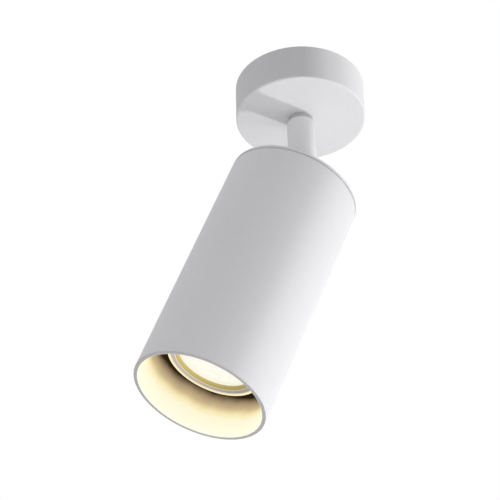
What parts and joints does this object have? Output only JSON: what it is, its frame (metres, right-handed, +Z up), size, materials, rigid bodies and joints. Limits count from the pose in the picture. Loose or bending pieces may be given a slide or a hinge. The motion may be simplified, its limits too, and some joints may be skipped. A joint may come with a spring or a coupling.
{
  "type": "surface mounted ceiling spotlight",
  "caption": "Cylindrical ceiling spotlight on a short stem: the head tilts and turns under a round canopy, with a recessed reflector lamp that twists out.",
  "frame": {"origin": "on the ceiling, at the centre of the mounting bracket between its two slots", "axes": "+Z up into the ceiling, the stem hangs along -Z; the tilt axis runs along Y and the head tilts towards -X"},
  "size_m": [0.1233, 0.07, 0.2132],
  "materials": {
    "white_coat": "fine satin powder coat",
    "white_plastic": "moulded",
    "zinc_steel": "zinc plated",
    "nickel_brass": "nickel plated",
    "brass": "turned",
    "nylon": "natural nylon",
    "ceramic": "unglazed porcelain",
    "lead_brown": "silicone insulated leads",
    "lamp_shell": "moulded",
    "lamp_rim": "moulded, lit from within",
    "lens": "prismatic, lit",
    "reflector": "bright",
    "board_white": "solder mask",
    "board_green": "solder mask",
    "chip": "phosphor"
  },
  "bodies": {
    "base": {"mounting_bracket": "zinc_steel", "canopy_cup": "white_coat", "canopy_set_screws": "zinc_steel", "terminal_block": "white_plastic", "terminal_inserts": "nickel_brass", "terminal_clamp_screws": "zinc_steel", "terminal_block_screw": "zinc_steel", "earth_screw": "brass", "earth_ring_terminal": "nickel_brass", "stem_bush": "nylon", "rotation_stop_pin": "zinc_steel", "supply_leads": "lead_brown"},
    "stem": {"stem_tube": "white_coat", "stop_washer": "zinc_steel", "spring_washer": "zinc_steel", "stem_nut": "zinc_steel", "stem_leads": "lead_brown"},
    "head": {"knuckle_block": "white_coat", "tilt_pivot_screws": "zinc_steel", "tilt_friction_washers": "nylon", "knuckle_fixing_screws": "zinc_steel", "end_cap": "white_coat", "cap_set_screw": "zinc_steel", "head_tube": "white_coat", "bracket_standoffs": "nickel_brass", "lampholder_bracket": "zinc_steel", "bracket_screws": "zinc_steel", "lampholder_body": "ceramic", "lampholder_screws": "zinc_steel", "lampholder_contacts": "brass", "head_earth_screw": "brass", "head_earth_terminal": "nickel_brass", "head_leads": "lead_brown"},
    "lamp": {"lamp_base": "lamp_shell", "lamp_pins": "nickel_brass", "lamp_housing": "lamp_shell", "lamp_driver_board": "board_green", "lamp_led_board": "board_white", "lamp_led_chips": "chip", "lamp_reflector": "reflector", "lamp_bezel": "lamp_rim", "lamp_lens": "lens"}
  },
  "joints": [
    {"name": "stem_turn", "type": "hinge", "parent": "base", "child": "stem", "pos_m": [0, 0, -0.0222], "axis": [0, 0, 1], "range_deg": [-170, 170]},
    {"name": "head_tilt", "type": "hinge", "parent": "stem", "child": "head", "pos_m": [0, 0, -0.058], "axis": [0, 1, 0], "range_deg": [-21.4, 68.6]},
    {"name": "lamp_twist", "type": "hinge", "parent": "head", "child": "lamp", "pos_m": [-0.04847, 0, -0.18169], "axis": [0.3649, 0, 0.9311], "range_deg": [0, 35]}
  ]
}
